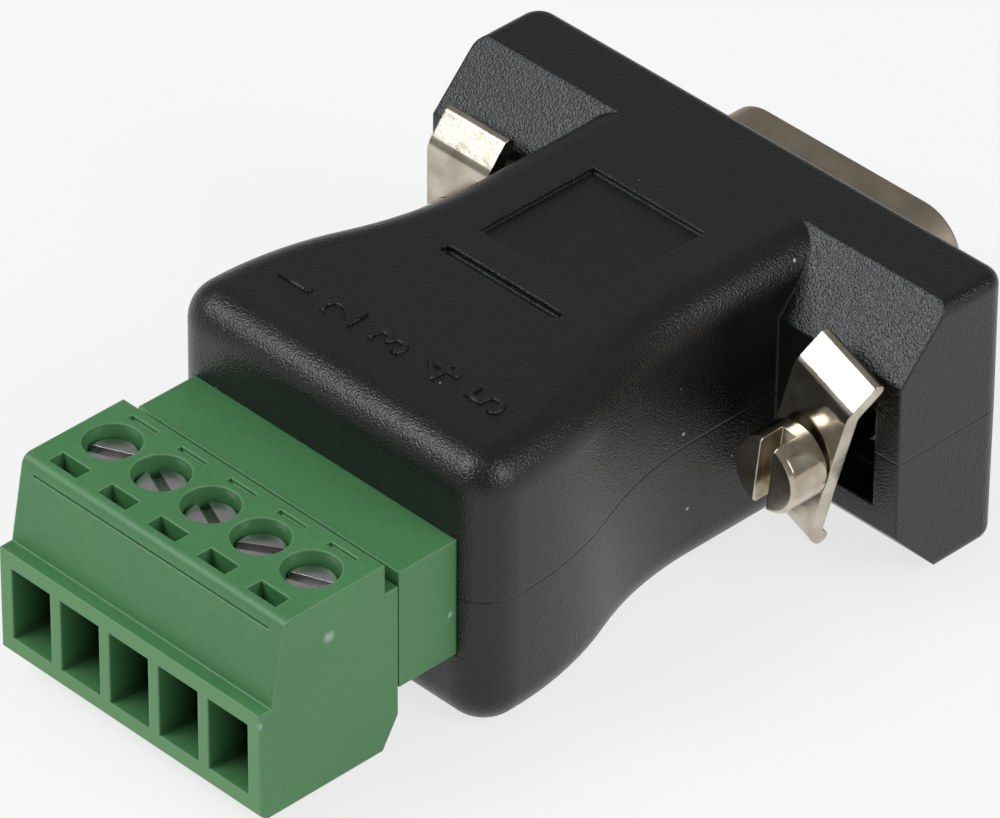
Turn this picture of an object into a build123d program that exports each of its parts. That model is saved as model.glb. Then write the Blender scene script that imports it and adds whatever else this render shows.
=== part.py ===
from build123d import *
import math
import os

os.makedirs("parts", exist_ok=True)

# Adapter with a nine-way socket connector at one end and a five-way plug-in terminal block
# at the other. Millimetres. X runs across the two jackscrews, +Y is the way the connector is
# pushed home, +Z is up. The origin is midway between the jackscrews, on the front of the hood,
# in the plane where the two halves of the hood meet. Distances called back, or counted from
# the front, run towards -Y.

# Hood
jack_spacing = 24.99
hood_width = 32.9
hood_height = 16.0
hood_length = 30.45
wing_length = 7.5
wing_flat = 4.2
wing_face_height = 9.0
wing_corner = 1.2
clip_room = 4.4
end_width = 22.2
waist_back = 13.0
flare_back = 28.0
end_corner = 2.3
body_edge = 2.0
wing_edge = 0.7
draft_angle = 0.2
wall = 1.6
front_lip = 0.45
opening_width = 29.2
opening_height = 10.9
lip_height = 0.5
lip_width = 0.7
lip_front = 8.6
lip_back = 25.6

# Sunk label panel and the groove behind it, on the upper half
label_width = 7.85
label_length = 7.85
label_front = 8.5
label_depth = 0.3
groove_length = 8.2
groove_width = 0.65
groove_back = 18.6
groove_depth = 0.4

# Clearances
joint_gap = 0.05
slip_gap = 0.1
shaft_gap = 0.08

# Nine-way socket connector
shell_width = 16.33
shell_height = 7.9
shell_corner = 2.6
shell_slant = 10.0
shell_reach = 6.12
shell_sheet = 0.4
shell_round = 0.24
flange_width = 30.81
flange_height = 12.55
flange_corner = 1.5
flange_sheet = 0.5
flange_hole = 1.55
rear_box_width = 18.9
rear_box_height = 10.7
rear_box_depth = 3.8
face_recess = 0.15
wide_row_count = 5
contact_pitch = 2.77
row_spacing = 2.84
contact_radius = 0.8
contact_bore = 0.52
contact_bore_depth = 5.0
contact_entry = 0.62
entry_depth = 0.4
cup_radius = 0.6
cup_length = 3.9

# Circuit board and the parts soldered to it
board_thickness = 1.6
board_front = 6.9
chip_length = 4.9
chip_width = 3.9
chip_height = 1.4
chip_span = 6.0
chip_side_lead_count = 4
chip_lead_pitch = 1.27
chip_lead_width = 0.4
chip_lead_sheet = 0.2
chip_backs = (13.0, 19.2)
capacitor_length = 3.2
capacitor_width = 1.6
capacitor_height = 1.5
capacitor_spacing = (4.0, 4.2)
resistor_length = 2.0
resistor_width = 1.25
resistor_height = 0.5
rail_width = 0.9
rail_height = 1.4
rail_length = 8.0
rail_front = 9.5

# Fixed header of the terminal block
ways = 5
pitch = 3.5
header_side = 0.45
header_height = 6.85
header_wall = 0.9
header_rim_back = 34.15
header_base_back = 26.2
header_base = 1.3
pin_size = 1.0
pin_tip_inset = 1.1
pin_tip_edge = 0.25
pin_tail = 3.7

# Terminal plug, its step profile taken from the side
plug_top = 4.35
plug_bottom = 6.72
plug_head_back = 35.1
plug_top_front = 41.6
plug_slant_foot = 42.45
plug_step_drop = 0.35
plug_front = 43.25
plug_foot_chamfer = 0.4
plug_heel_rise = 1.7
plug_heel_run = 1.0
plug_shoulder_top = 2.65
plug_top_edge = 0.6
seam_drop = 0.75
seam_width = 0.14
seam_depth = 0.25
tongue_end_wall = 0.7
screw_back = 37.8
screw_hole = 1.5
shelf_drop = 2.05
shelf_thickness = 0.5
shaft_width = 2.8
shaft_length = 3.6
shaft_floor = 5.6
entry_width = 2.8
entry_height = 4.25
entry_top_drop = 0.9
funnel_length = 2.0
funnel_angle = 8.0
pocket_width = 2.0
pocket_length = 0.95
pocket_depth = 1.6
pocket_ahead = 2.75
nick_width = 1.9
nick_length = 0.33
nick_depth = 0.25
nick_behind = 2.0

# Clamp: screw, rising cage and current bar
clamp_screw_radius = 1.0
clamp_head_radius = 1.35
clamp_head_height = 1.3
clamp_head_edge = 0.14
clamp_tip_edge = 0.2
clamp_slot_width = 0.55
clamp_slot_depth = 0.55
clamp_slot_angles = (25.0, -23.0, -23.0, 32.0, 23.0)
cage_wall = 0.3
cage_roof = 0.9
cage_floor = 0.6
cage_length = 3.4
cage_travel = 2.0
wire_room = 0.25
bar_thickness = 0.7
leaf_thickness = 0.3
bar_width = 1.7

# Jackscrews and their loose clips
jack_head_radius = 2.1
jack_head_length = 2.3
jack_head_edge = 0.2
jack_tip_edge = 0.28
jack_slot_width = 0.9
jack_slot_depth = 1.5
jack_slot_turns = (7.0, -6.5)
jack_thread_radius = 1.42
jack_neck_radius = 1.05
jack_neck_length = 5.0
jack_reach = 12.0
clip_width = 4.3
clip_sheet = 0.8
clip_rise = 4.4
clip_fall = 4.0
clip_flange = 1.8
clip_flange_angle = 50.0
clip_toe = 0.7
clip_toe_angle = 45.0
clip_bend = 0.9
clip_hole = 1.75
clip_backs = (9.2, 9.85)
clip_cocks = (0.0, -2.2)
clip_swivels = (0.0, 15.0)
clip_yaws = (0.0, -6.6)
clip_slot_width = 4.7
clip_slot_height = 6.4
clip_slot_depth = 2.4

# Sizes that follow from the ones above
half_height = hood_height / 2
waist_width = jack_spacing - 2 * clip_room
cavity_half = half_height - wall
flange_back = front_lip
flange_total = 2 * flange_sheet
rear_box_back = flange_back + flange_sheet + rear_box_depth
contact_back = rear_box_back
rim_y = shell_reach - flange_back
contact_places = []
for row, count in ((1, wide_row_count), (-1, wide_row_count - 1)):
    row_start = -(count - 1) * contact_pitch / 2
    for place in range(count):
        contact_places.append((row_start + place * contact_pitch, row * row_spacing / 2))
jack_bore = jack_thread_radius + shaft_gap
board_half = board_thickness / 2
board_back = header_base_back - slip_gap
way_places = [(way - (ways - 1) / 2) * pitch for way in range(ways)]
header_half = ways * pitch / 2 + header_side
seat_half = header_half + joint_gap
cavity_back = header_base_back + header_base
tongue_half = header_half - header_wall - slip_gap
tongue_height = header_height - 2 * header_wall - 2 * slip_gap
tongue_back = cavity_back + slip_gap
plug_back = header_rim_back + slip_gap
pin_z = -board_half - pin_size / 2
leaf_low = pin_z - pin_size / 2 - joint_gap
leaf_high = pin_z + pin_size / 2 + joint_gap
leaf_front = tongue_back + tongue_end_wall + slip_gap
leaf_back = screw_back - shaft_length / 2 - slip_gap - leaf_thickness
bar_bottom = leaf_low - leaf_thickness
bar_top = bar_bottom + bar_thickness
bar_room = leaf_high + leaf_thickness - bar_bottom + 2 * slip_gap
bar_middle = (leaf_high + leaf_thickness + bar_bottom) / 2
shelf_top = plug_top - shelf_drop
shelf_bottom = shelf_top - shelf_thickness
entry_middle = -plug_step_drop - entry_top_drop - entry_height / 2
throat_width = entry_width - 2 * funnel_length * math.tan(math.radians(funnel_angle))
throat_height = entry_height - 2 * funnel_length * math.tan(math.radians(funnel_angle))
cage_window = bar_thickness + 2 * slip_gap + cage_travel + wire_room
cage_outer = cage_roof + cage_window + cage_floor
cage_bottom = bar_bottom - wire_room - cage_travel - cage_floor


def body_outline(inset, corner=0.0):
    """Plan of the hood's body: a straight waist that flares out to the terminal end."""
    waist = inset - waist_width / 2
    end = inset - end_width / 2
    middle = (waist + end) / 2
    turn = (waist_back + flare_back) / 2
    with BuildSketch(Plane.XY) as outline:
        with BuildLine():
            Line((0, 0), (waist, 0))
            Line((waist, 0), (waist, -waist_back))
            first_bend = TangentArc((waist, -waist_back), (middle, -turn), tangent=(0, -1))
            TangentArc((middle, -turn), (end, -flare_back), tangent=first_bend % 1)
            Line((end, -flare_back), (end, -hood_length))
            Line((end, -hood_length), (0, -hood_length))
            mirror(about=Plane.YZ)
        make_face()
        if corner:
            fillet(outline.vertices().group_by(Axis.Y)[0], corner)
    return outline.sketch


def body_slice(inset, front, back):
    """The part of the body's plan between two distances from the front."""
    with BuildSketch(Plane.XY) as outline:
        add(body_outline(inset))
        with Locations((0, -(front + back) / 2)):
            Rectangle(hood_width, back - front, mode=Mode.INTERSECT)
    return outline.sketch


def d_outline(width, height, corner):
    """D-shaped outline of the connector, its wide side up."""
    slant = math.radians(shell_slant)
    bulge = (height / 2 - corner) * math.tan(slant) + corner - corner / math.cos(slant)
    middle = width / 2 - bulge
    spread = math.tan(slant) * height / 2
    with BuildSketch() as outline:
        with BuildLine():
            Polyline(
                (middle - spread, -height / 2),
                (middle + spread, height / 2),
                (-middle - spread, height / 2),
                (-middle + spread, -height / 2),
                close=True,
            )
        make_face()
        fillet(outline.vertices(), corner)
    return outline.sketch


def window(back, width, height, middle_x=0.0, middle_z=0.0):
    """A rectangle square to Y, at a distance back from the front."""
    with BuildSketch(Plane.XZ.offset(back)) as outline:
        with Locations((middle_x, middle_z)):
            Rectangle(width, height)
    return outline.sketch


def wing_half():
    """Upper half of the wide wing that holds the connector's flange."""
    with BuildPart() as wing:
        with BuildSketch(Plane.XY):
            with Locations((0, -wing_length / 2)):
                Rectangle(hood_width, wing_length)
        extrude(amount=half_height, taper=draft_angle)
        upright = wing.edges().filter_by(lambda edge: abs(edge.tangent_at(0).Z) > 0.9)
        fillet(upright.group_by(Axis.Y)[-1], wing_corner)
        with BuildSketch(Plane.YZ):
            with BuildLine():
                Polyline(
                    (-wing_flat, half_height),
                    (-wing_length, wing_face_height / 2),
                    (-wing_length - wing_flat, wing_face_height / 2),
                    (-wing_length - wing_flat, half_height + wall),
                    (-wing_flat, half_height + wall),
                    close=True,
                )
            make_face()
        extrude(amount=hood_width, both=True, mode=Mode.SUBTRACT)
        fillet(wing.edges().filter_by(Axis.Y).group_by(Axis.Z)[-1], wing_edge)
    return wing.part


def hood_half():
    """Upper half of the hood with its seats, before what makes the two halves differ."""
    with BuildPart() as half:
        add(body_outline(0, end_corner))
        extrude(amount=half_height, taper=draft_angle)
        fillet(half.faces().sort_by(Axis.Z)[-1].edges(), body_edge)
        add(wing_half())
        # Front opening, slot for the flange, room for the connector's rear box
        extrude(window(0, opening_width, opening_height), amount=front_lip, mode=Mode.SUBTRACT)
        flange_slot = window(flange_back, flange_width + 2 * slip_gap, flange_height + 2 * slip_gap)
        extrude(flange_slot, amount=flange_total + joint_gap, mode=Mode.SUBTRACT)
        box_room = window(flange_back, rear_box_width + 2 * slip_gap, rear_box_height + 2 * slip_gap)
        extrude(box_room, amount=rear_box_back - flange_back + slip_gap, mode=Mode.SUBTRACT)
        # Hollow for the board, and the seat of the fixed header
        hollow = body_slice(wall, rear_box_back, header_base_back)
        extrude(hollow, amount=cavity_half, mode=Mode.SUBTRACT)
        seat = window(header_base_back - joint_gap, 2 * seat_half, header_height + 2 * joint_gap)
        extrude(seat, amount=hood_length, mode=Mode.SUBTRACT)
        for side in (-1, 1):
            # Jackscrew bore, and the sunk face behind it
            with BuildSketch(Plane.XZ):
                with Locations((side * jack_spacing / 2, 0)):
                    Circle(jack_bore)
            extrude(amount=wing_length, mode=Mode.SUBTRACT)
            sunk_face = window(
                wing_length - clip_slot_depth, clip_slot_width, clip_slot_height, side * jack_spacing / 2
            )
            extrude(sunk_face, amount=clip_slot_depth, mode=Mode.SUBTRACT)
            # Rail that holds the edge of the board
            with BuildSketch(Plane.XY.offset(board_half + joint_gap)):
                with Locations((side * (waist_width / 2 - wall), -rail_front - rail_length / 2)):
                    Rectangle(2 * rail_width, rail_length)
            extrude(amount=rail_height)
    return half.part


with BuildPart() as top_shell:
    add(hood_half())
    with BuildSketch(Plane.XY.offset(half_height)):
        with Locations((0, -label_front - label_length / 2)):
            Rectangle(label_width, label_length)
    extrude(amount=-label_depth, mode=Mode.SUBTRACT)
    with BuildSketch(Plane.XY.offset(half_height)):
        with Locations((0, -groove_back)):
            SlotOverall(groove_length, groove_width)
    extrude(amount=-groove_depth, mode=Mode.SUBTRACT)
    # Step that the lip of the lower half fits under
    step = body_slice(wall - lip_width - joint_gap, lip_front - joint_gap, lip_back + joint_gap)
    extrude(step, amount=lip_height + joint_gap, mode=Mode.SUBTRACT)

with BuildPart() as bottom_shell:
    add(mirror(hood_half(), about=Plane.XY))
    with BuildSketch(Plane.XY):
        add(body_slice(wall - lip_width, lip_front, lip_back))
        add(body_slice(wall, lip_front, lip_back), mode=Mode.SUBTRACT)
    extrude(amount=lip_height)


# Metal front shell: the D-shaped collar drawn out of the flange
with BuildPart() as dsub_front_shell:
    with BuildSketch(Plane.XZ.offset(flange_back)):
        RectangleRounded(flange_width, flange_height, flange_corner)
        with Locations((-jack_spacing / 2, 0), (jack_spacing / 2, 0)):
            Circle(flange_hole, mode=Mode.SUBTRACT)
    extrude(amount=flange_sheet)
    with BuildSketch(Plane.XZ.offset(flange_back + flange_sheet)):
        add(d_outline(shell_width, shell_height, shell_corner))
    extrude(amount=-(shell_reach + flange_sheet))
    inner_corner = shell_corner - shell_sheet
    with BuildSketch(Plane.XZ.offset(flange_back + flange_sheet)):
        add(d_outline(shell_width - 2 * shell_sheet, shell_height - 2 * shell_sheet, inner_corner))
    extrude(amount=-(shell_reach + flange_sheet), mode=Mode.SUBTRACT)
    rim_edges = dsub_front_shell.faces().sort_by(Axis.Y)[-1].outer_wire().edges()
    fillet(rim_edges, shell_round)

# Metal rear shell, a shallow box behind the flange
with BuildPart() as dsub_rear_shell:
    with BuildSketch(Plane.XZ.offset(flange_back + flange_sheet)):
        RectangleRounded(flange_width, flange_height, flange_corner)
        with Locations((-jack_spacing / 2, 0), (jack_spacing / 2, 0)):
            Circle(flange_hole, mode=Mode.SUBTRACT)
    extrude(amount=flange_sheet)
    with BuildSketch(Plane.XZ.offset(flange_back + flange_sheet)):
        RectangleRounded(rear_box_width, rear_box_height, flange_corner)
    extrude(amount=rear_box_depth)
    with BuildSketch(Plane.XZ.offset(flange_back + flange_sheet)):
        RectangleRounded(rear_box_width - 2 * shell_sheet, rear_box_height - 2 * shell_sheet, flange_corner)
    extrude(amount=rear_box_depth, mode=Mode.SUBTRACT)

# Insulator: a D-shaped nose and a rectangular rear block, bored for the nine contacts
nose_gap = shell_sheet + joint_gap
with BuildPart() as insulator:
    with BuildSketch(Plane.XZ.offset(flange_back + flange_sheet)):
        add(d_outline(shell_width - 2 * nose_gap, shell_height - 2 * nose_gap, shell_corner - nose_gap))
    extrude(amount=-(shell_reach + flange_sheet - face_recess))
    with BuildSketch(Plane.XZ.offset(flange_back + flange_sheet)):
        RectangleRounded(rear_box_width - 2 * nose_gap, rear_box_height - 2 * nose_gap, flange_corner)
    extrude(amount=rear_box_depth)
    for x, z in contact_places:
        with BuildSketch(Plane.XZ.offset(contact_back)):
            with Locations((x, z)):
                Circle(contact_radius + joint_gap)
        extrude(amount=-(contact_back + rim_y - face_recess - entry_depth), mode=Mode.SUBTRACT)
        with BuildSketch(Plane.XZ.offset(contact_back)):
            with Locations((x, z)):
                Circle(contact_entry)
        extrude(amount=-(contact_back + rim_y), mode=Mode.SUBTRACT)

# Nine socket contacts: a bored sleeve in front, a tail on the board behind
with BuildPart() as socket_contacts:
    contact_front = rim_y - face_recess - entry_depth
    for x, z in contact_places:
        with BuildSketch(Plane.XZ.offset(contact_back)):
            with Locations((x, z)):
                Circle(contact_radius)
        extrude(amount=-(contact_back + contact_front))
        with BuildSketch(Plane.XZ.offset(-contact_front)):
            with Locations((x, z)):
                Circle(contact_bore)
        extrude(amount=contact_bore_depth, mode=Mode.SUBTRACT)
        with BuildSketch(Plane.XZ.offset(contact_back)):
            with Locations((x, z)):
                Circle(cup_radius)
        extrude(amount=cup_length)

# Circuit board, following the inside of the hood
with BuildPart() as circuit_board:
    with BuildSketch(Plane.XY.offset(-board_half)):
        add(body_slice(wall + slip_gap, board_front, board_back))
    extrude(amount=board_thickness)

# Two small chips with bent leads
with BuildPart() as driver_chips:
    lead_foot = board_half
    lead_knee = lead_foot + chip_height / 2
    for back in chip_backs:
        with BuildSketch(Plane.XY.offset(board_half + joint_gap)):
            with Locations((0, -back)):
                Rectangle(chip_width, chip_length)
        extrude(amount=chip_height)
        for place in range(chip_side_lead_count):
            lead_y = -back + (place - (chip_side_lead_count - 1) / 2) * chip_lead_pitch
            with BuildSketch(Plane.XZ.offset(-lead_y)):
                with BuildLine():
                    Polyline(
                        (0, lead_knee - chip_lead_sheet),
                        (chip_width / 2 + chip_lead_sheet, lead_knee - chip_lead_sheet),
                        (chip_width / 2 + chip_lead_sheet, lead_foot),
                        (chip_span / 2, lead_foot),
                        (chip_span / 2, lead_foot + chip_lead_sheet),
                        (chip_width / 2 + 2 * chip_lead_sheet, lead_foot + chip_lead_sheet),
                        (chip_width / 2 + 2 * chip_lead_sheet, lead_knee),
                        (0, lead_knee),
                        close=True,
                    )
                make_face()
                mirror(about=Plane.YZ)
            extrude(amount=chip_lead_width / 2, both=True)

# Ceramic capacitors under the board, resistors beside the chips
with BuildPart() as capacitors:
    with BuildSketch(Plane.XY.offset(-board_half)):
        with Locations((0, -(chip_backs[0] + chip_backs[1]) / 2)):
            with GridLocations(capacitor_spacing[0], capacitor_spacing[1], 2, 2):
                Rectangle(capacitor_length, capacitor_width)
    extrude(amount=-capacitor_height)

with BuildPart() as resistors:
    with BuildSketch(Plane.XY.offset(board_half)):
        with Locations((0, -(chip_backs[0] + chip_backs[1]) / 2)):
            with GridLocations(chip_span + 2 * resistor_width, chip_backs[1] - chip_backs[0], 2, 2):
                Rectangle(resistor_width, resistor_length)
    extrude(amount=resistor_height)

# Fixed header: an open-fronted box with five square pins through its base
with BuildPart() as header_housing:
    with BuildSketch(Plane.XZ.offset(header_base_back)):
        Rectangle(2 * header_half, header_height)
    extrude(amount=header_rim_back - header_base_back)
    with BuildSketch(Plane.XZ.offset(cavity_back)):
        Rectangle(2 * (header_half - header_wall), header_height - 2 * header_wall)
    extrude(amount=header_rim_back - cavity_back, mode=Mode.SUBTRACT)
    with BuildSketch(Plane.XZ.offset(header_base_back)):
        with Locations(*[(x, pin_z) for x in way_places]):
            Rectangle(pin_size, pin_size)
    extrude(amount=header_base, mode=Mode.SUBTRACT)

with BuildPart() as header_pins:
    with BuildSketch(Plane.XZ.offset(header_base_back - pin_tail)):
        with Locations(*[(x, pin_z) for x in way_places]):
            Rectangle(pin_size, pin_size)
    extrude(amount=pin_tail + header_rim_back - header_base_back - pin_tip_inset)
    chamfer(header_pins.faces().filter_by(Axis.Y).group_by(Axis.Y)[0].edges(), pin_tip_edge)

# Terminal plug
with BuildPart() as plug_body:
    with BuildSketch(Plane.YZ):
        with BuildLine():
            Polyline(
                (-plug_head_back, plug_top),
                (-plug_top_front, plug_top),
                (-plug_slant_foot, -plug_step_drop),
                (-plug_front, -plug_step_drop),
                (-plug_front, plug_foot_chamfer - plug_bottom),
                (plug_foot_chamfer - plug_front, -plug_bottom),
                (-plug_back - plug_heel_run, -plug_bottom),
                (-plug_back, plug_heel_rise - plug_bottom),
                (-plug_back, plug_shoulder_top),
                (-plug_head_back, plug_shoulder_top),
                close=True,
            )
        make_face()
    extrude(amount=header_half, both=True)
    top_edges = plug_body.edges().filter_by(Axis.X).group_by(Axis.Z)[-1]
    fillet(top_edges.sort_by(Axis.Y)[0], plug_top_edge)
    tongue = window(tongue_back, 2 * tongue_half, tongue_height)
    extrude(tongue, amount=screw_back - tongue_back)
    # Line under the rounded lip along the top of the slanted face
    slant_run = (plug_slant_foot - plug_top_front) * seam_drop / (plug_top + plug_step_drop)
    seam_start = plug_top_front + slant_run - seam_depth
    seam = window(seam_start, 2 * (header_half - header_wall), seam_width, 0, plug_top - seam_drop)
    extrude(seam, amount=2 * seam_depth, mode=Mode.SUBTRACT)
    for x in way_places:
        # Screw hole, shelf under the screw's head, shaft for the cage
        with BuildSketch(Plane.XY.offset(plug_top)):
            with Locations((x, -screw_back)):
                Circle(screw_hole)
        extrude(amount=-shelf_drop, mode=Mode.SUBTRACT)
        with BuildSketch(Plane.XY.offset(plug_top)):
            with Locations((x, -screw_back)):
                Circle(clamp_screw_radius + slip_gap)
        extrude(amount=shelf_bottom - plug_top, mode=Mode.SUBTRACT)
        with BuildSketch(Plane.XY.offset(shelf_bottom)):
            with Locations((x, -screw_back)):
                Rectangle(shaft_width, shaft_length)
        extrude(amount=-(shelf_bottom + shaft_floor), mode=Mode.SUBTRACT)
        # Pocket ahead of the screw and nick behind it
        with BuildSketch(Plane.XY.offset(plug_top)):
            with Locations((x, -screw_back - pocket_ahead)):
                Rectangle(pocket_width, pocket_length)
        extrude(amount=-pocket_depth, mode=Mode.SUBTRACT)
        with BuildSketch(Plane.XY.offset(plug_top)):
            with Locations((x, -screw_back + nick_behind)):
                Rectangle(nick_width, nick_length)
        extrude(amount=-nick_depth, mode=Mode.SUBTRACT)
        # Wire entry, narrowing towards the cage
        mouth = window(plug_front, entry_width, entry_height, x, entry_middle)
        extrude(mouth, amount=-funnel_length, taper=funnel_angle, mode=Mode.SUBTRACT)
        throat = window(plug_front, throat_width, throat_height, x, entry_middle)
        extrude(throat, amount=screw_back - plug_front, mode=Mode.SUBTRACT)
        # Channel for the current bar, and the hole that the header's pin enters by
        channel = window(tongue_back + tongue_end_wall, bar_width + 2 * slip_gap, bar_room, x, bar_middle)
        extrude(channel, amount=screw_back - tongue_back - tongue_end_wall, mode=Mode.SUBTRACT)
        pin_hole = window(tongue_back, pin_size + 2 * slip_gap, pin_size + 2 * slip_gap, x, pin_z)
        extrude(pin_hole, amount=2 * tongue_end_wall, mode=Mode.SUBTRACT)

# Current bars: a bar inside the cage that parts into two leaves round the pin
with BuildPart() as plug_contacts:
    for x in way_places:
        with BuildSketch(Plane.YZ.offset(x)):
            with BuildLine():
                Polyline(
                    (-screw_back - cage_length / 2, bar_bottom),
                    (-leaf_front, bar_bottom),
                    (-leaf_front, leaf_low),
                    (-leaf_back, leaf_low),
                    (-leaf_back, leaf_high),
                    (-leaf_front, leaf_high),
                    (-leaf_front, leaf_high + leaf_thickness),
                    (-leaf_back - leaf_thickness, leaf_high + leaf_thickness),
                    (-leaf_back - leaf_thickness, bar_top),
                    (-screw_back - cage_length / 2, bar_top),
                    close=True,
                )
            make_face()
        extrude(amount=bar_width / 2, both=True)

for name, piece in (
    ("top_shell", top_shell),
    ("bottom_shell", bottom_shell),
    ("dsub_front_shell", dsub_front_shell),
    ("dsub_rear_shell", dsub_rear_shell),
    ("insulator", insulator),
    ("socket_contacts", socket_contacts),
    ("circuit_board", circuit_board),
    ("driver_chips", driver_chips),
    ("capacitors", capacitors),
    ("resistors", resistors),
    ("header_housing", header_housing),
    ("header_pins", header_pins),
    ("plug_body", plug_body),
    ("plug_contacts", plug_contacts),
):
    piece.part.label = name
    export_step(piece.part, f"parts/{name}.step")


def clamp_screw(x, slot_angle):
    """Slotted clamp screw standing in its hole in the plug."""
    with BuildPart() as screw:
        with BuildSketch(Plane.XY.offset(shelf_top + joint_gap)):
            with Locations((x, -screw_back)):
                Circle(clamp_head_radius)
        extrude(amount=clamp_head_height)
        chamfer(screw.edges().group_by(Axis.Z)[-1], clamp_head_edge)
        head_top = shelf_top + joint_gap + clamp_head_height
        with BuildSketch(Plane.XY.offset(head_top)):
            with Locations(Location((x, -screw_back), slot_angle)):
                Rectangle(3 * clamp_head_radius, clamp_slot_width)
        extrude(amount=-clamp_slot_depth, mode=Mode.SUBTRACT)
        with BuildSketch(Plane.XY.offset(shelf_top + joint_gap)):
            with Locations((x, -screw_back)):
                Circle(clamp_screw_radius)
        extrude(amount=-(shelf_top - bar_top))
        chamfer(screw.edges().group_by(Axis.Z)[0], clamp_tip_edge)
    return screw.part


def clamp_cage(x):
    """Rising cage: a square ring with the screw's thread in its roof."""
    with BuildPart() as cage:
        with BuildSketch(Plane.XZ.offset(screw_back)):
            with Locations((x, cage_bottom + cage_outer / 2)):
                Rectangle(shaft_width - 2 * joint_gap, cage_outer)
            with Locations((x, cage_bottom + cage_floor + cage_window / 2)):
                Rectangle(shaft_width - 2 * joint_gap - 2 * cage_wall, cage_window, mode=Mode.SUBTRACT)
        extrude(amount=cage_length / 2, both=True)
        fillet(cage.edges().filter_by(Axis.Y).group_by(Axis.Z)[0], cage_wall)
        with BuildSketch(Plane.XY.offset(cage_bottom + cage_outer)):
            with Locations((x, -screw_back)):
                Circle(clamp_screw_radius + joint_gap)
        extrude(amount=-cage_roof, mode=Mode.SUBTRACT)
    return cage.part


def jackscrew(x, head_back, slot_turn):
    """Captive jackscrew: slotted head, plain neck and thread."""
    with BuildPart() as screw:
        with BuildSketch(Plane.XZ.offset(head_back)):
            with Locations((x, 0)):
                Circle(jack_head_radius)
        extrude(amount=jack_head_length)
        chamfer(screw.edges().group_by(Axis.Y)[0], jack_head_edge)
        with BuildSketch(Plane.XZ.offset(head_back + jack_head_length)):
            with Locations(Location((x, 0), slot_turn)):
                Rectangle(jack_slot_width, 3 * jack_head_radius)
        extrude(amount=-jack_slot_depth, mode=Mode.SUBTRACT)
        with BuildSketch(Plane.XZ.offset(head_back)):
            with Locations((x, 0)):
                Circle(jack_neck_radius)
        extrude(amount=-jack_neck_length)
        with BuildSketch(Plane.XZ.offset(head_back - jack_neck_length)):
            with Locations((x, 0)):
                Circle(jack_thread_radius)
        extrude(amount=-(jack_reach - jack_neck_length))
        chamfer(screw.edges().group_by(Axis.Y)[-1], jack_tip_edge)
    return screw.part


def retaining_clip(x, back, cock, swivel, yaw):
    """Bent sheet clip that sits loose on the jackscrew, its flange towards the roof slope."""
    seat = Location((x, -back, 0), (cock, swivel, yaw), Extrinsic.XYZ)
    flange = math.radians(clip_flange_angle)
    toe = math.radians(clip_toe_angle)
    with BuildPart() as clip:
        with BuildSketch(Plane(seat * Plane.YZ.location)) as side:
            with BuildLine():
                FilletPolyline(
                    (clip_toe * math.cos(toe), -clip_fall - clip_toe * math.sin(toe)),
                    (0, -clip_fall),
                    (0, clip_rise),
                    (clip_flange * math.cos(flange), clip_rise + clip_flange * math.sin(flange)),
                    radius=clip_bend,
                )
                offset(amount=clip_sheet / 2, side=Side.BOTH)
            make_face()
        extrude(amount=clip_width / 2, both=True)
        with BuildSketch(Plane(seat * Plane.XZ.location)):
            Circle(clip_hole)
        extrude(amount=clip_sheet, both=True, mode=Mode.SUBTRACT)
    return clip.part


for number, (x, slot_angle) in enumerate(zip(way_places, clamp_slot_angles), start=1):
    for name, piece in (
        (f"clamp_screw_{number}", clamp_screw(x, slot_angle)),
        (f"clamp_cage_{number}", clamp_cage(x)),
    ):
        piece.label = name
        export_step(piece, f"parts/{name}.step")

for index, (hand, side) in enumerate((("left", -1), ("right", 1))):
    x = side * jack_spacing / 2
    tilt = math.hypot(clip_cocks[index], clip_yaws[index])
    head_room = clip_sheet / 2 + jack_head_radius * math.sin(math.radians(tilt)) + joint_gap
    clip = retaining_clip(x, clip_backs[index], clip_cocks[index], clip_swivels[index], clip_yaws[index])
    screw = jackscrew(x, clip_backs[index] + head_room, jack_slot_turns[index])
    for name, piece in ((f"retaining_clip_{hand}", clip), (f"jackscrew_{hand}", screw)):
        piece.label = name
        export_step(piece, f"parts/{name}.step")
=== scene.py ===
import math

import bmesh
import bpy
from mathutils import Matrix, Vector


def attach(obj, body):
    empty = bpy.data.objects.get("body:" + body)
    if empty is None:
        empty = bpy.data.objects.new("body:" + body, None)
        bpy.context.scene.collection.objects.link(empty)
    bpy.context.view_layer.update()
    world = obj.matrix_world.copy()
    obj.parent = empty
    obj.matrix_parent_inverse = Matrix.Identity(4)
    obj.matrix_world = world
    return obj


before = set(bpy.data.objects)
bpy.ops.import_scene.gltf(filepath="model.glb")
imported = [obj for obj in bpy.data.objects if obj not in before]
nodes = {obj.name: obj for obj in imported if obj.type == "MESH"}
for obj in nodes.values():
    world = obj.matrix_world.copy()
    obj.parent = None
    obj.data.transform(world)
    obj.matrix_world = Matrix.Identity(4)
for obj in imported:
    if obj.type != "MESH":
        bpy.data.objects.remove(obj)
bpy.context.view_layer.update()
MM = 0.001

# Places on the adapter that the materials, the numbers and the floor follow

HOOD_TOP = 8.0 * MM
FLOOR_Z = -8.05 * MM
WAY_PITCH = 3.5 * MM
WAYS_X = [way * WAY_PITCH for way in (-2, -1, 0, 1, 2)]
PLUG_SIDE_X = 9.2 * MM
PLUG_FRONT_Y = -43.25 * MM
ENTRY_Z = -3.375 * MM
ENTRY_HALF_WIDTH = 1.43 * MM
ENTRY_HALF_HEIGHT = 2.15 * MM
ENTRY_END_Y = -35.6 * MM
ENTRIES_REACH_X = 8.6 * MM
JACK_X = 12.495 * MM
THREAD_PITCH = 0.635 * MM
THREAD_START_Y = -5.0 * MM
THREAD_CORE_RADIUS = 1.15 * MM
THREAD_HEIGHT = 0.7 * MM


# Small helpers for shader trees

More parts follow.
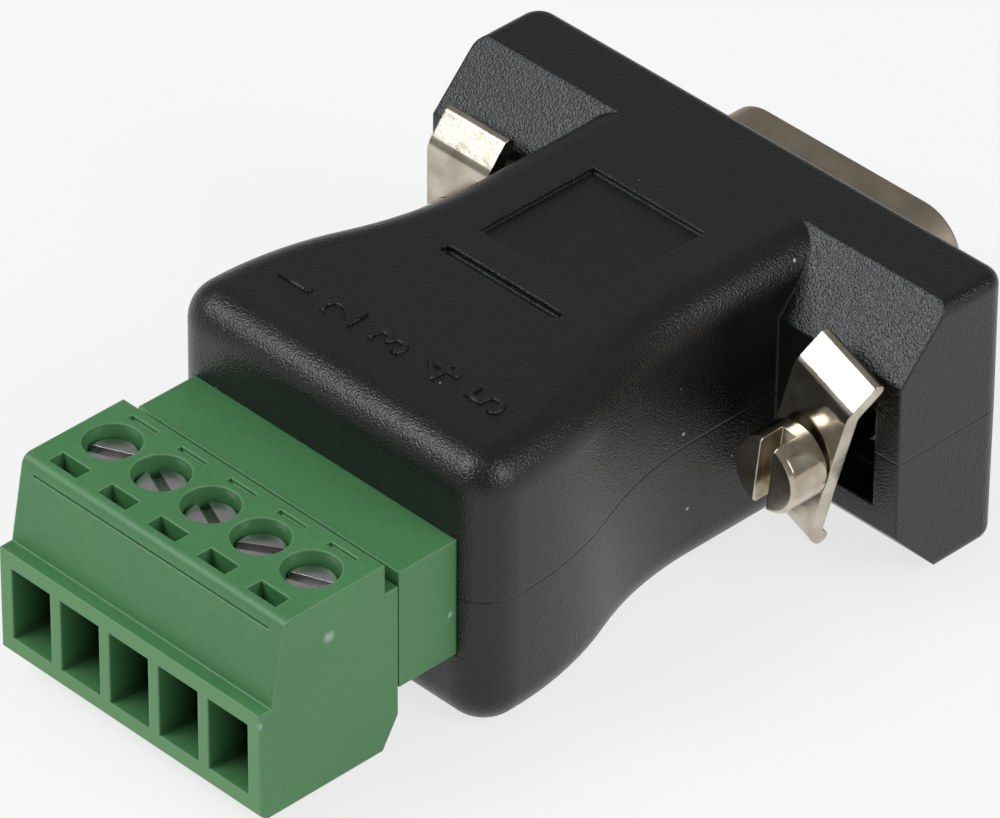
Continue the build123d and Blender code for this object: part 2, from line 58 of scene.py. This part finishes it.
def new_group(name, inputs, outputs):
    """An empty shader group with its sockets, its input node and its output node."""
    group = bpy.data.node_groups.new(name, "ShaderNodeTree")
    for label, kind, value in inputs:
        socket = group.interface.new_socket(label, in_out="INPUT", socket_type=kind)
        socket.default_value = value
    for label in outputs:
        group.interface.new_socket(label, in_out="OUTPUT", socket_type="NodeSocketFloat")
    return group, group.nodes.new("NodeGroupInput").outputs, group.nodes.new("NodeGroupOutput").inputs


def place_on_object(tree):
    """The point on the surface, in the object's own coordinates."""
    return tree.nodes.new("ShaderNodeTexCoord").outputs["Object"]


def calc(tree, operation, *values):
    """A Math node fed with numbers or sockets."""
    node = tree.nodes.new("ShaderNodeMath")
    node.operation = operation
    for socket, value in zip(node.inputs, values):
        if isinstance(value, (int, float)):
            socket.default_value = value
        else:
            tree.links.new(value, socket)
    return node.outputs[0]


def noise(tree, where, scale, detail):
    """A noise texture read at the given place."""
    texture = tree.nodes.new("ShaderNodeTexNoise")
    texture.inputs["Detail"].default_value = detail
    tree.links.new(where, texture.inputs["Vector"])
    if isinstance(scale, (int, float)):
        texture.inputs["Scale"].default_value = scale
    else:
        tree.links.new(scale, texture.inputs["Scale"])
    return texture.outputs["Fac"]


def remap(tree, value, from_low, from_high, to_low=0.0, to_high=1.0):
    """The value carried from one range to another and kept inside it."""
    node = tree.nodes.new("ShaderNodeMapRange")
    for label, number in (
        ("From Min", from_low), ("From Max", from_high), ("To Min", to_low), ("To Max", to_high)
    ):
        node.inputs[label].default_value = number
    tree.links.new(value, node.inputs["Value"])
    return node.outputs["Result"]


def colour_ramp(tree, value, low, low_colour, high, high_colour):
    """A colour that runs from one to another as the value goes from low to high."""
    ramp = tree.nodes.new("ShaderNodeValToRGB")
    for element, position, colour in zip(ramp.color_ramp.elements, (low, high), (low_colour, high_colour)):
        element.position = position
        element.color = (*colour, 1.0)
    tree.links.new(value, ramp.inputs["Fac"])
    return ramp.outputs["Color"]


def lay_over(tree, colour, mask, over):
    """The colour with another laid over it where the mask is 1."""
    mixed = tree.nodes.new("ShaderNodeMixRGB")
    mixed.inputs["Color2"].default_value = (*over, 1.0)
    tree.links.new(mask, mixed.inputs["Fac"])
    tree.links.new(colour, mixed.inputs["Color1"])
    return mixed.outputs["Color"]


def bump(tree, height, distance, under):
    """A Bump node over another normal."""
    node = tree.nodes.new("ShaderNodeBump")
    node.inputs["Distance"].default_value = distance
    tree.links.new(height, node.inputs["Height"])
    tree.links.new(under, node.inputs["Normal"])
    return node.outputs["Normal"]


def softened(tree, radius):
    """The normal with the edges rounded by a small radius."""
    node = tree.nodes.new("ShaderNodeBevel")
    node.samples = 6
    node.inputs["Radius"].default_value = radius
    return node.outputs["Normal"]


def use_group(tree, group, **values):
    """A node of the group with its inputs set."""
    node = tree.nodes.new("ShaderNodeGroup")
    node.node_tree = group
    for label, value in values.items():
        node.inputs[label].default_value = value
    return node.outputs


def shade(colour, factor):
    """The colour made lighter or darker."""
    return tuple(min(1.0, part * factor) for part in colour)


# Shader groups shared by several materials

def moulded_grain():
    """Fine spark-eroded grain of moulded plastic: noise, tiny pimples and a slow waviness."""
    group, given, made = new_group(
        "moulded_grain",
        [
            ("Scale", "NodeSocketFloat", 5000.0),
            ("Pimples", "NodeSocketFloat", 0.0),
        ],
        ["Height", "Fine", "Blotch"],
    )
    where = place_on_object(group)
    fine = noise(group, where, given["Scale"], 3.0)
    wave = noise(group, where, 420.0, 2.0)
    pimples = group.nodes.new("ShaderNodeTexVoronoi")
    pimples.feature = "SMOOTH_F1"
    group.links.new(where, pimples.inputs["Vector"])
    group.links.new(given["Scale"], pimples.inputs["Scale"])
    grain = calc(group, "MULTIPLY_ADD", wave, 0.3, fine)
    dimples = calc(group, "MULTIPLY", pimples.outputs["Distance"], given["Pimples"])
    group.links.new(calc(group, "SUBTRACT", grain, dimples), made["Height"])
    group.links.new(fine, made["Fine"])
    group.links.new(noise(group, where, 150.0, 3.0), made["Blotch"])
    return group


def dust_specks():
    """Sparse pale specks, as many as Share asks for."""
    group, given, made = new_group("dust_specks", [("Share", "NodeSocketFloat", 0.2)], ["Mask"])
    cells = group.nodes.new("ShaderNodeTexVoronoi")
    cells.inputs["Scale"].default_value = 520.0
    group.links.new(place_on_object(group), cells.inputs["Vector"])
    colour = group.nodes.new("ShaderNodeSeparateColor")
    group.links.new(cells.outputs["Color"], colour.inputs["Color"])
    chosen = calc(group, "LESS_THAN", colour.outputs["Red"], given["Share"])
    size = calc(group, "MULTIPLY_ADD", colour.outputs["Green"], 0.04, 0.02)
    near = calc(group, "LESS_THAN", cells.outputs["Distance"], size)
    group.links.new(calc(group, "MULTIPLY", chosen, near), made["Mask"])
    return group


def scuff_patch():
    """A ragged scuffed patch round a point, faint at its rim."""
    group, given, made = new_group(
        "scuff_patch",
        [("Centre", "NodeSocketVector", (0.0, 0.0, 0.0)), ("Radius", "NodeSocketFloat", 0.3 * MM)],
        ["Mask"],
    )
    where = place_on_object(group)
    apart = group.nodes.new("ShaderNodeVectorMath")
    apart.operation = "DISTANCE"
    group.links.new(where, apart.inputs[0])
    group.links.new(given["Centre"], apart.inputs[1])
    ragged = calc(group, "MULTIPLY", noise(group, where, 4200.0, 2.0), 2.2)
    reach = calc(group, "MULTIPLY", ragged, given["Radius"])
    share = calc(group, "DIVIDE", apart.outputs["Value"], reach)
    group.links.new(remap(group, share, 1.0, 0.3), made["Mask"])
    return group


GRAIN = moulded_grain()
DUST = dust_specks()
DUST_GREY = (0.4, 0.41, 0.42)
SCUFF = scuff_patch()


# Materials

def plain_material(name, colour, roughness, metallic=0.0):
    """A material with a Principled shader, and what is needed to wire it."""
    material = bpy.data.materials.new(name)
    material.use_nodes = True
    tree = material.node_tree
    shader = tree.nodes["Principled BSDF"]
    shader.inputs["Base Color"].default_value = (*colour, 1.0)
    shader.inputs["Roughness"].default_value = roughness
    shader.inputs["Metallic"].default_value = metallic
    return material, tree, shader


def edge_mask(tree, soft):
    """1 along the edges, where the softened normal turns away from the face's own."""
    turned = tree.nodes.new("ShaderNodeVectorMath")
    turned.operation = "DOT_PRODUCT"
    tree.links.new(soft, turned.inputs[0])
    tree.links.new(tree.nodes.new("ShaderNodeNewGeometry").outputs["Normal"], turned.inputs[1])
    return remap(tree, turned.outputs["Value"], 0.995, 0.85)


def entry_depth_mask(tree):
    """0 at the mouths of the wire entries and 1 deep inside them: a mask for painted shade that darkens the
    entries with depth.
    """
    point = tree.nodes.new("ShaderNodeSeparateXYZ")
    tree.links.new(place_on_object(tree), point.inputs["Vector"])
    x, y, z = point.outputs
    way = calc(tree, "FLOORED_MODULO", calc(tree, "ADD", x, WAY_PITCH / 2), WAY_PITCH)
    inner = calc(tree, "LESS_THAN", calc(tree, "ABSOLUTE", x), ENTRIES_REACH_X)
    beside = calc(tree, "MULTIPLY", inner, calc(tree, "COMPARE", way, WAY_PITCH / 2, ENTRY_HALF_WIDTH))
    level = calc(tree, "COMPARE", z, ENTRY_Z, ENTRY_HALF_HEIGHT)
    ahead = calc(tree, "LESS_THAN", y, ENTRY_END_Y)
    depth = remap(tree, y, PLUG_FRONT_Y + 0.1 * MM, PLUG_FRONT_Y + 2.25 * MM)
    return calc(tree, "MULTIPLY", calc(tree, "MULTIPLY", beside, level), calc(tree, "MULTIPLY", ahead, depth))


def front_mask(tree):
    """1 on the front of the plug, where a lighter green is laid as painted light on that face."""
    point = tree.nodes.new("ShaderNodeSeparateXYZ")
    tree.links.new(place_on_object(tree), point.inputs["Vector"])
    return calc(tree, "LESS_THAN", point.outputs["Y"], PLUG_FRONT_Y + 0.05 * MM)


def moulded_plastic(
    name, colour, roughness, scale, height, edge, spread=0.12, fleck=0.0, pimples=0.0, painted_edge_highlight=None, painted_entry_shade=None,
    painted_front_light=None, scuffs=(), scuff_colour=None, dust=0.0,
):
    """Moulded plastic: grain, uneven colour and gloss, softened edges with a painted highlight, a painted
    lighter front, painted shade deep in the wire entries, scuffs and dust.

    The grain's height, the radius of the edges and each scuff's centre and radius are in metres."""
    material, tree, shader = plain_material(name, colour, roughness)
    grain = use_group(tree, GRAIN, Scale=scale, Pimples=pimples)
    slow = calc(tree, "MULTIPLY", grain["Blotch"], 1.0 - fleck)
    tone = calc(tree, "MULTIPLY_ADD", grain["Fine"], fleck, slow)
    surface = colour_ramp(tree, tone, 0.3, shade(colour, 1 - spread), 0.7, shade(colour, 1 + spread))
    soft = softened(tree, edge)
    # Painted light: a lighter green on the plug's front stands in for the light falling on it.
    if painted_front_light:
        surface = lay_over(tree, surface, front_mask(tree), painted_front_light)
    # Painted highlight: a lighter colour laid along the edges.
    if painted_edge_highlight:
        surface = lay_over(tree, surface, edge_mask(tree, soft), painted_edge_highlight)
    # Painted shade: the wire entries darken with depth.
    if painted_entry_shade:
        surface = lay_over(tree, surface, entry_depth_mask(tree), painted_entry_shade)
    for centre, radius in scuffs:
        patch = use_group(tree, SCUFF, Centre=centre, Radius=radius)
        surface = lay_over(tree, surface, patch["Mask"], scuff_colour)
    if dust:
        surface = lay_over(tree, surface, use_group(tree, DUST, Share=dust)["Mask"], DUST_GREY)
    link = tree.links.new
    link(surface, shader.inputs["Base Color"])
    link(remap(tree, grain["Blotch"], 0.0, 1.0, roughness - 0.05, roughness + 0.06), shader.inputs["Roughness"])
    link(bump(tree, grain["Height"], height, soft), shader.inputs["Normal"])
    return material


def thread_height(tree):
    """The flanks of the jackscrews' 4-40 thread, which starts past the neck."""
    point = tree.nodes.new("ShaderNodeSeparateXYZ")
    tree.links.new(place_on_object(tree), point.inputs["Vector"])
    x, y, z = point.outputs
    across = calc(tree, "SUBTRACT", x, calc(tree, "MULTIPLY", calc(tree, "SIGN", x), JACK_X))
    turn = calc(tree, "DIVIDE", calc(tree, "ARCTAN2", z, across), 2 * math.pi)
    along = calc(tree, "ADD", calc(tree, "DIVIDE", y, THREAD_PITCH), turn)
    flank = calc(tree, "PINGPONG", along, 0.5)
    radius_squared = calc(tree, "MULTIPLY_ADD", z, z, calc(tree, "MULTIPLY", across, across))
    outside = calc(tree, "GREATER_THAN", radius_squared, THREAD_CORE_RADIUS ** 2)
    threaded = calc(tree, "MULTIPLY", outside, calc(tree, "GREATER_THAN", y, THREAD_START_Y))
    return calc(tree, "MULTIPLY", flank, threaded)


def plated_metal(name, colour, roughness, height, edge, tarnish=None, threaded=False):
    """Plated metal: faint marks, uneven gloss, softened edges and a little tarnish."""
    material, tree, shader = plain_material(name, colour, roughness, 1.0)
    where = place_on_object(tree)
    cloud = noise(tree, where, 500.0, 4.0)
    surface = colour_ramp(tree, cloud, 0.35, tarnish or shade(colour, 0.8), 0.62, colour)
    gloss = remap(tree, cloud, 0.0, 1.0, max(0.03, roughness - 0.07), roughness + 0.09)
    normal = softened(tree, edge)
    if threaded:
        normal = bump(tree, thread_height(tree), THREAD_HEIGHT, normal)
    link = tree.links.new
    link(surface, shader.inputs["Base Color"])
    link(gloss, shader.inputs["Roughness"])
    link(bump(tree, noise(tree, where, 2600.0, 3.0), height, normal), shader.inputs["Normal"])
    return material


hood_black = moulded_plastic(
    "hood_black", (0.0034, 0.0038, 0.004), 0.3, 9500.0, 0.026 * MM, 0.22 * MM,
    spread=0.9, fleck=0.85, pimples=1.0, dust=0.3,
)
terminal_green = moulded_plastic(
    "terminal_green", (0.062, 0.210, 0.074), 0.42, 3800.0, 0.008 * MM, 0.16 * MM,
    # Painted highlight: the second colour below is laid along the edges.
    # Painted light: the first colour below is the lit front of the plug.
    # Painted shade: the third colour below darkens the wire entries.
    fleck=0.5, painted_front_light=(0.10, 0.275, 0.098), painted_edge_highlight=(0.17, 0.36, 0.18), painted_entry_shade=(0.008, 0.024, 0.011),
    scuff_colour=(0.30, 0.42, 0.34),
    scuffs=[
        ((PLUG_SIDE_X, -38.72 * MM, 2.01 * MM), 0.34 * MM),
        ((PLUG_SIDE_X, -43.2 * MM, -0.95 * MM), 0.26 * MM),
        ((PLUG_SIDE_X, -30.81 * MM, -0.86 * MM), 0.2 * MM),
    ],
)
insulator_black = moulded_plastic("insulator_black", (0.016, 0.016, 0.018), 0.35, 3000.0, 0.004 * MM, 0.1 * MM)
board_green = moulded_plastic("board_green", (0.02, 0.11, 0.045), 0.3, 2500.0, 0.005 * MM, 0.05 * MM)
chip_black = moulded_plastic("chip_black", (0.03, 0.03, 0.03), 0.5, 5000.0, 0.008 * MM, 0.08 * MM)
capacitor_tan = moulded_plastic("capacitor_tan", (0.42, 0.30, 0.18), 0.45, 3000.0, 0.004 * MM, 0.08 * MM)
shell_tin = plated_metal(
    "shell_tin", (0.42, 0.365, 0.28), 0.42, 0.002 * MM, 0.1 * MM, tarnish=(0.35, 0.30, 0.225)
)
clip_nickel = plated_metal(
    "clip_nickel", (0.62, 0.57, 0.48), 0.17, 0.005 * MM, 0.12 * MM, tarnish=(0.40, 0.35, 0.27)
)
jack_nickel = plated_metal(
    "jack_nickel", (0.64, 0.59, 0.50), 0.17, 0.005 * MM, 0.12 * MM, tarnish=(0.42, 0.36, 0.27), threaded=True
)
screw_zinc = plated_metal("screw_zinc", (0.66, 0.62, 0.64), 0.24, 0.003 * MM, 0.08 * MM)
pin_tin = plated_metal("pin_tin", (0.72, 0.71, 0.68), 0.3, 0.002 * MM, 0.08 * MM)
contact_brass = plated_metal(
    "contact_brass", (0.83, 0.62, 0.28), 0.25, 0.002 * MM, 0.06 * MM, tarnish=(0.66, 0.46, 0.18)
)

MATERIAL_OF = {
    "top_shell": hood_black,
    "bottom_shell": hood_black,
    "dsub_front_shell": shell_tin,
    "dsub_rear_shell": shell_tin,
    "insulator": insulator_black,
    "socket_contacts": contact_brass,
    "circuit_board": board_green,
    "driver_chips": chip_black,
    "capacitors": capacitor_tan,
    "resistors": chip_black,
    "header_housing": terminal_green,
    "header_pins": pin_tin,
    "plug_body": terminal_green,
    "plug_contacts": pin_tin,
    "retaining_clip_left": clip_nickel,
    "retaining_clip_right": clip_nickel,
    "jackscrew_left": jack_nickel,
    "jackscrew_right": jack_nickel,
}
for number in range(1, 6):
    MATERIAL_OF[f"clamp_screw_{number}"] = screw_zinc
    MATERIAL_OF[f"clamp_cage_{number}"] = screw_zinc
for name, node in nodes.items():
    node.data.materials.clear()
    node.data.materials.append(MATERIAL_OF[name])


# Raised way numbers on the hood, one in line with each clamp screw

DIGIT_SIZE = 3.17 * MM
DIGIT_RISE = 0.06 * MM
DIGIT_CHAMFER = 0.07 * MM
DIGIT_SLIMMING = 0.05 * MM
DIGIT_Y = -25.9 * MM
DIGIT_CROWDING = 0.96

for number, x in enumerate(WAYS_X, start=1):
    text = bpy.data.curves.new(f"way_number_{number}", "FONT")
    text.body = str(number)
    text.size = DIGIT_SIZE
    text.align_x = "CENTER"
    text.align_y = "CENTER"
    text.extrude = DIGIT_RISE
    text.bevel_depth = DIGIT_CHAMFER
    text.bevel_resolution = 0
    text.offset = -DIGIT_SLIMMING
    shaped = bpy.data.objects.new(f"way_number_{number}_text", text)
    bpy.context.scene.collection.objects.link(shaped)
    bpy.context.view_layer.update()
    mesh = bpy.data.meshes.new_from_object(shaped.evaluated_get(bpy.context.evaluated_depsgraph_get()))
    bpy.data.objects.remove(shaped)
    place = Matrix.Translation((x * DIGIT_CROWDING, DIGIT_Y, HOOD_TOP))
    mesh.transform(place @ Matrix.Rotation(math.pi / 2, 4, "Z"))
    shape = bmesh.new()
    shape.from_mesh(mesh)
    bmesh.ops.remove_doubles(shape, verts=shape.verts, dist=1e-7)
    bmesh.ops.recalc_face_normals(shape, faces=shape.faces)
    shape.to_mesh(mesh)
    shape.free()
    digit = bpy.data.objects.new(f"way_number_{number}", mesh)
    bpy.context.scene.collection.objects.link(digit)
    mesh.materials.clear()
    mesh.materials.append(hood_black)
    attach(digit, "housing")


# Floor and world

def seen_directly(tree):
    """1 for what the camera sees straight, in a reflection or through glass."""
    path = tree.nodes.new("ShaderNodeLightPath").outputs
    seen = calc(tree, "MAXIMUM", path["Is Camera Ray"], path["Is Glossy Ray"])
    return calc(tree, "MAXIMUM", seen, path["Is Transmission Ray"])


FLOOR_HALF_WIDTH = 1.5
FLOOR_GLOW = 0.75

mesh = bpy.data.meshes.new("floor")
shape = bmesh.new()
bmesh.ops.create_grid(
    shape, x_segments=1, y_segments=1, size=FLOOR_HALF_WIDTH, matrix=Matrix.Translation((0, 0, FLOOR_Z))
)
shape.to_mesh(mesh)
shape.free()
floor = bpy.data.objects.new("floor", mesh)
bpy.context.scene.collection.objects.link(floor)
floor_paint, tree, shader = plain_material("floor_paint", (0.86, 0.86, 0.86), 0.7)
glow = tree.nodes.new("ShaderNodeEmission")
mixed = tree.nodes.new("ShaderNodeMixShader")
tree.links.new(calc(tree, "MULTIPLY", seen_directly(tree), FLOOR_GLOW), mixed.inputs["Fac"])
tree.links.new(shader.outputs["BSDF"], mixed.inputs[1])
tree.links.new(glow.outputs["Emission"], mixed.inputs[2])
tree.links.new(mixed.outputs["Shader"], tree.nodes["Material Output"].inputs["Surface"])
mesh.materials.append(floor_paint)

world = bpy.data.worlds.new("studio")
bpy.context.scene.world = world
world.use_nodes = True
sky = world.node_tree
dim = sky.nodes["Background"]
dim.inputs["Color"].default_value = (1.0, 1.0, 1.0, 1.0)
dim.inputs["Strength"].default_value = 0.3
white = sky.nodes.new("ShaderNodeBackground")
white.inputs["Color"].default_value = (1.0, 1.0, 1.0, 1.0)
either = sky.nodes.new("ShaderNodeMixShader")
sky.links.new(sky.nodes.new("ShaderNodeLightPath").outputs["Is Camera Ray"], either.inputs["Fac"])
sky.links.new(dim.outputs["Background"], either.inputs[1])
sky.links.new(white.outputs["Background"], either.inputs[2])
sky.links.new(either.outputs["Shader"], sky.nodes["World Output"].inputs["Surface"])


# Lamps and camera, placed by an azimuth and an elevation in degrees; azimuth 0 looks along +Y

def direction(azimuth, elevation):
    """The way from the adapter to a lamp or a camera."""
    turn, lift = math.radians(azimuth), math.radians(elevation)
    return Vector((math.sin(turn) * math.cos(lift), -math.cos(turn) * math.cos(lift), math.sin(lift)))


MIDDLE = Vector((0, -19 * MM, 0))


def lamp(name, azimuth, elevation, distance, size, power, colour):
    """A soft square lamp aimed at the middle of the adapter."""
    data = bpy.data.lights.new(name, "AREA")
    data.shape = "SQUARE"
    data.size = size
    data.energy = power
    data.color = colour
    away = direction(azimuth, elevation)
    made = bpy.data.objects.new(name, data)
    made.location = MIDDLE + away * distance
    made.rotation_mode = "QUATERNION"
    made.rotation_quaternion = away.to_track_quat("Z", "Y")
    bpy.context.scene.collection.objects.link(made)


lamp("key_light", -34, 46, 0.40, 0.22, 0.98, (0.95, 0.985, 1.0))
lamp("side_light", 100, 32, 0.45, 0.24, 0.88, (1.0, 1.0, 1.0))

VIEW_AZIMUTH = 45.789
VIEW_ELEVATION = 36.194
VIEW_ROLL = 0.382
LENS_PIXELS = 9158.4
IMAGE_WIDTH = 1000
AIM = Vector((0, -24.752 * MM, 0))
STAND_OFF = 446.45 * MM
SHIFT_RIGHT = 4.402 * MM
SHIFT_UP = 2.792 * MM

azimuth = math.radians(VIEW_AZIMUTH)
roll = math.radians(VIEW_ROLL)
back = direction(VIEW_AZIMUTH, VIEW_ELEVATION)
right = Vector((math.cos(azimuth), math.sin(azimuth), 0))
up = back.cross(right)
lens = bpy.data.cameras.new("camera")
lens.sensor_fit = "HORIZONTAL"
lens.sensor_width = 36.0
lens.lens = lens.sensor_width * LENS_PIXELS / IMAGE_WIDTH
lens.clip_start = 0.05
lens.clip_end = 10.0
camera = bpy.data.objects.new("camera", lens)
camera.location = AIM + back * STAND_OFF + right * SHIFT_RIGHT + up * SHIFT_UP
rolled_right = math.cos(roll) * right + math.sin(roll) * up
rolled_up = -math.sin(roll) * right + math.cos(roll) * up
camera.rotation_mode = "QUATERNION"
camera.rotation_quaternion = Matrix((rolled_right, rolled_up, back)).transposed().to_quaternion()
bpy.context.scene.collection.objects.link(camera)
bpy.context.scene.camera = camera
bpy.context.scene.view_settings.view_transform = "Standard"
